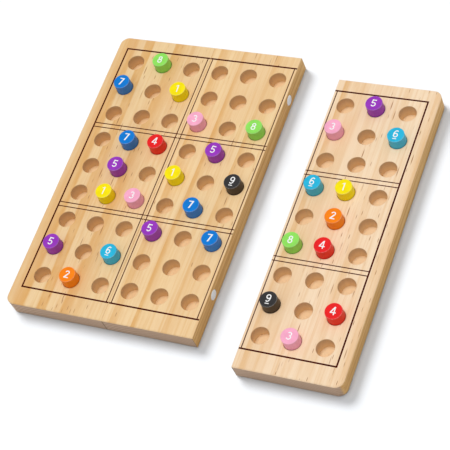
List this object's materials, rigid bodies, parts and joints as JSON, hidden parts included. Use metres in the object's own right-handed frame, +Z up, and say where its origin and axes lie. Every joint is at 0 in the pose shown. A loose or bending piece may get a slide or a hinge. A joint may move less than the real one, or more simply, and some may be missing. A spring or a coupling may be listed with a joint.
{
  "type": "sudoku board",
  "caption": "Wooden sudoku board in sections that magnets hold edge to edge, with blind holes in a square grid and loose painted number pegs standing in some of them.",
  "frame": {"origin": "on the underside of the middle section, under the centre of its part of the hole grid", "axes": "+Z up out of the top face, +X along a row from left to right, +Y towards the first row"},
  "size_m": [0.335, 0.32, 0.0275],
  "materials": {
    "pine": "sanded pine under a thin matt varnish",
    "magnet": "plated",
    "paint_yellow": "satin paint on turned wood",
    "paint_orange": "satin paint on turned wood",
    "paint_pink": "satin paint on turned wood",
    "paint_red": "satin paint on turned wood",
    "paint_purple": "satin paint on turned wood",
    "paint_cyan": "satin paint on turned wood",
    "paint_blue": "satin paint on turned wood",
    "paint_green": "satin paint on turned wood",
    "paint_charcoal": "satin paint on turned wood"
  },
  "bodies": {
    "left_board": {"left_section": "pine", "left_upper_magnet": "magnet", "left_lower_magnet": "magnet"},
    "middle_board": {"middle_section": "pine", "middle_left_upper_magnet": "magnet", "middle_left_lower_magnet": "magnet", "middle_right_upper_magnet": "magnet", "middle_right_lower_magnet": "magnet"},
    "right_board": {"right_section": "pine", "right_upper_magnet": "magnet", "right_lower_magnet": "magnet"},
    "peg_r1c2": {"peg_r1c2": "paint_green"},
    "peg_r1c8": {"peg_r1c8": "paint_purple"},
    "peg_r2c1": {"peg_r2c1": "paint_blue"},
    "peg_r2c3": {"peg_r2c3": "paint_yellow"},
    "peg_r2c7": {"peg_r2c7": "paint_pink"},
    "peg_r2c9": {"peg_r2c9": "paint_cyan"},
    "peg_r3c4": {"peg_r3c4": "paint_pink"},
    "peg_r3c6": {"peg_r3c6": "paint_green"},
    "peg_r4c2": {"peg_r4c2": "paint_blue"},
    "peg_r4c3": {"peg_r4c3": "paint_red"},
    "peg_r4c5": {"peg_r4c5": "paint_purple"},
    "peg_r4c7": {"peg_r4c7": "paint_cyan"},
    "peg_r4c8": {"peg_r4c8": "paint_yellow"},
    "peg_r5c2": {"peg_r5c2": "paint_purple"},
    "peg_r5c4": {"peg_r5c4": "paint_yellow"},
    "peg_r5c6": {"peg_r5c6": "paint_charcoal"},
    "peg_r5c8": {"peg_r5c8": "paint_orange"},
    "peg_r6c2": {"peg_r6c2": "paint_yellow"},
    "peg_r6c3": {"peg_r6c3": "paint_pink"},
    "peg_r6c5": {"peg_r6c5": "paint_blue"},
    "peg_r6c7": {"peg_r6c7": "paint_green"},
    "peg_r6c8": {"peg_r6c8": "paint_red"},
    "peg_r7c4": {"peg_r7c4": "paint_purple"},
    "peg_r7c6": {"peg_r7c6": "paint_blue"},
    "peg_r8c1": {"peg_r8c1": "paint_purple"},
    "peg_r8c3": {"peg_r8c3": "paint_cyan"},
    "peg_r8c7": {"peg_r8c7": "paint_charcoal"},
    "peg_r8c9": {"peg_r8c9": "paint_red"},
    "peg_r9c2": {"peg_r9c2": "paint_orange"},
    "peg_r9c8": {"peg_r9c8": "paint_pink"}
  },
  "joints": [
    {"name": "left_section_slide", "type": "slide", "parent": "middle_board", "child": "left_board", "axis": [-1, 0, 0], "range_m": [0, 0.045]},
    {"name": "right_section_slide", "type": "slide", "parent": "middle_board", "child": "right_board", "axis": [-0.9218, 0.3876, 0], "range_m": [0, 0.04773]},
    {"name": "peg_r1c2_lift", "type": "slide", "parent": "left_board", "child": "peg_r1c2", "axis": [0, 0, 1], "range_m": [0, 0.02]},
    {"name": "peg_r1c8_lift", "type": "slide", "parent": "right_board", "child": "peg_r1c8", "axis": [0, 0, 1], "range_m": [0, 0.02]},
    {"name": "peg_r2c1_lift", "type": "slide", "parent": "left_board", "child": "peg_r2c1", "axis": [0, 0, 1], "range_m": [0, 0.02]},
    {"name": "peg_r2c3_lift", "type": "slide", "parent": "left_board", "child": "peg_r2c3", "axis": [0, 0, 1], "range_m": [0, 0.02]},
    {"name": "peg_r2c7_lift", "type": "slide", "parent": "right_board", "child": "peg_r2c7", "axis": [0, 0, 1], "range_m": [0, 0.02]},
    {"name": "peg_r2c9_lift", "type": "slide", "parent": "right_board", "child": "peg_r2c9", "axis": [0, 0, 1], "range_m": [0, 0.02]},
    {"name": "peg_r3c4_lift", "type": "slide", "parent": "middle_board", "child": "peg_r3c4", "axis": [0, 0, 1], "range_m": [0, 0.02]},
    {"name": "peg_r3c6_lift", "type": "slide", "parent": "middle_board", "child": "peg_r3c6", "axis": [0, 0, 1], "range_m": [0, 0.02]},
    {"name": "peg_r4c2_lift", "type": "slide", "parent": "left_board", "child": "peg_r4c2", "axis": [0, 0, 1], "range_m": [0, 0.02]},
    {"name": "peg_r4c3_lift", "type": "slide", "parent": "left_board", "child": "peg_r4c3", "axis": [0, 0, 1], "range_m": [0, 0.02]},
    {"name": "peg_r4c5_lift", "type": "slide", "parent": "middle_board", "child": "peg_r4c5", "axis": [0, 0, 1], "range_m": [0, 0.02]},
    {"name": "peg_r4c7_lift", "type": "slide", "parent": "right_board", "child": "peg_r4c7", "axis": [0, 0, 1], "range_m": [0, 0.02]},
    {"name": "peg_r4c8_lift", "type": "slide", "parent": "right_board", "child": "peg_r4c8", "axis": [0, 0, 1], "range_m": [0, 0.02]},
    {"name": "peg_r5c2_lift", "type": "slide", "parent": "left_board", "child": "peg_r5c2", "axis": [0, 0, 1], "range_m": [0, 0.02]},
    {"name": "peg_r5c4_lift", "type": "slide", "parent": "middle_board", "child": "peg_r5c4", "axis": [0, 0, 1], "range_m": [0, 0.02]},
    {"name": "peg_r5c6_lift", "type": "slide", "parent": "middle_board", "child": "peg_r5c6", "axis": [0, 0, 1], "range_m": [0, 0.02]},
    {"name": "peg_r5c8_lift", "type": "slide", "parent": "right_board", "child": "peg_r5c8", "axis": [0, 0, 1], "range_m": [0, 0.02]},
    {"name": "peg_r6c2_lift", "type": "slide", "parent": "left_board", "child": "peg_r6c2", "axis": [0, 0, 1], "range_m": [0, 0.02]},
    {"name": "peg_r6c3_lift", "type": "slide", "parent": "left_board", "child": "peg_r6c3", "axis": [0, 0, 1], "range_m": [0, 0.02]},
    {"name": "peg_r6c5_lift", "type": "slide", "parent": "middle_board", "child": "peg_r6c5", "axis": [0, 0, 1], "range_m": [0, 0.02]},
    {"name": "peg_r6c7_lift", "type": "slide", "parent": "right_board", "child": "peg_r6c7", "axis": [0, 0, 1], "range_m": [0, 0.02]},
    {"name": "peg_r6c8_lift", "type": "slide", "parent": "right_board", "child": "peg_r6c8", "axis": [0, 0, 1], "range_m": [0, 0.02]},
    {"name": "peg_r7c4_lift", "type": "slide", "parent": "middle_board", "child": "peg_r7c4", "axis": [0, 0, 1], "range_m": [0, 0.02]},
    {"name": "peg_r7c6_lift", "type": "slide", "parent": "middle_board", "child": "peg_r7c6", "axis": [0, 0, 1], "range_m": [0, 0.02]},
    {"name": "peg_r8c1_lift", "type": "slide", "parent": "left_board", "child": "peg_r8c1", "axis": [0, 0, 1], "range_m": [0, 0.02]},
    {"name": "peg_r8c3_lift", "type": "slide", "parent": "left_board", "child": "peg_r8c3", "axis": [0, 0, 1], "range_m": [0, 0.02]},
    {"name": "peg_r8c7_lift", "type": "slide", "parent": "right_board", "child": "peg_r8c7", "axis": [0, 0, 1], "range_m": [0, 0.02]},
    {"name": "peg_r8c9_lift", "type": "slide", "parent": "right_board", "child": "peg_r8c9", "axis": [0, 0, 1], "range_m": [0, 0.02]},
    {"name": "peg_r9c2_lift", "type": "slide", "parent": "left_board", "child": "peg_r9c2", "axis": [0, 0, 1], "range_m": [0, 0.02]},
    {"name": "peg_r9c8_lift", "type": "slide", "parent": "right_board", "child": "peg_r9c8", "axis": [0, 0, 1], "range_m": [0, 0.02]}
  ]
}
